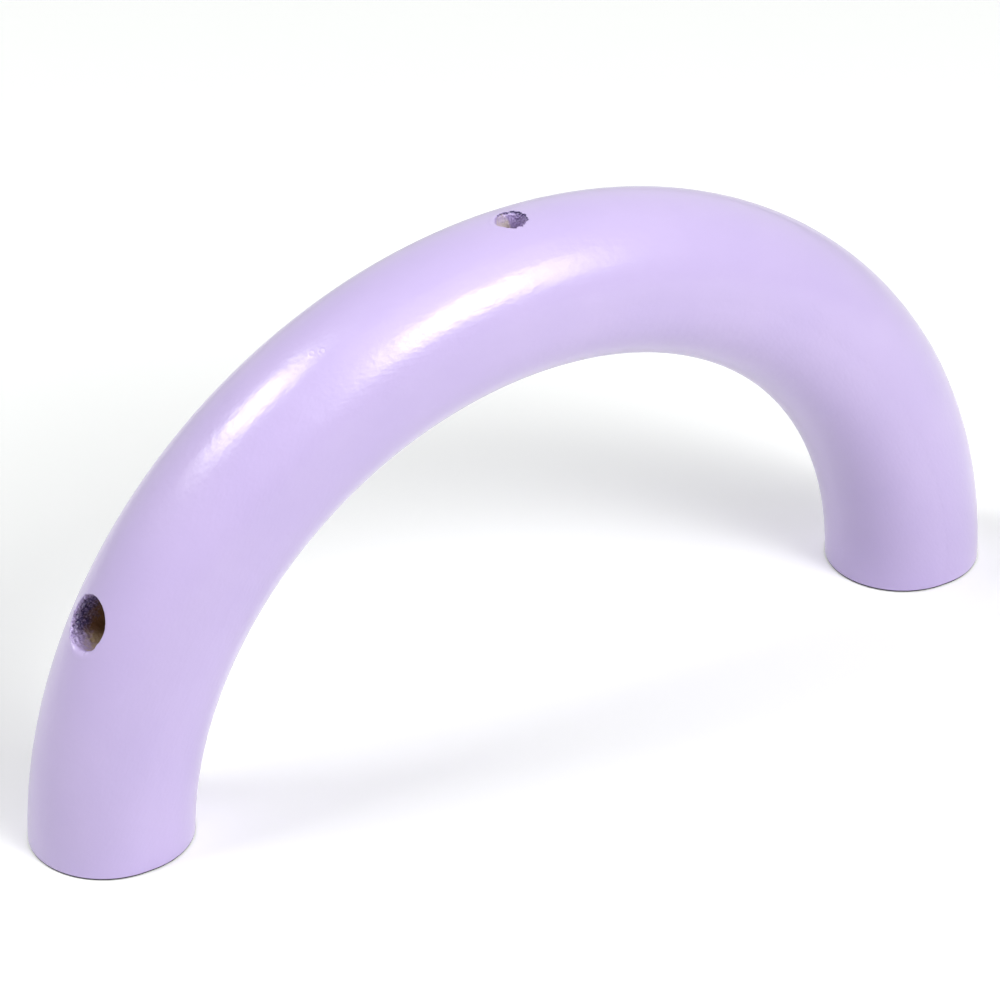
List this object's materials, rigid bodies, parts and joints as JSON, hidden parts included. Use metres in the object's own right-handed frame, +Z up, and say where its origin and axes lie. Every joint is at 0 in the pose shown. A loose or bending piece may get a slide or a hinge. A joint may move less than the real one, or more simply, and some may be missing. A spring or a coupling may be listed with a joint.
{
  "type": "wooden arch",
  "caption": "Half ring of round lacquered wood on two flat-cut feet, with radial sockets drilled into its outside.",
  "frame": {"origin": "on the floor, midway between the two feet", "axes": "+X along the span from the left foot to the right foot, +Y towards the back, +Z up"},
  "size_m": [0.2, 0.028, 0.098],
  "materials": {
    "lilac_lacquer": "opaque gloss lacquer",
    "raw_beech": "raw"
  },
  "bodies": {
    "root": {"left_leg_segment": "lilac_lacquer", "crown_segment": "lilac_lacquer", "right_leg_segment": "lilac_lacquer", "left_outer_dowel": "raw_beech", "left_inner_dowel": "raw_beech", "right_outer_dowel": "raw_beech", "right_inner_dowel": "raw_beech"}
  },
  "joints": []
}
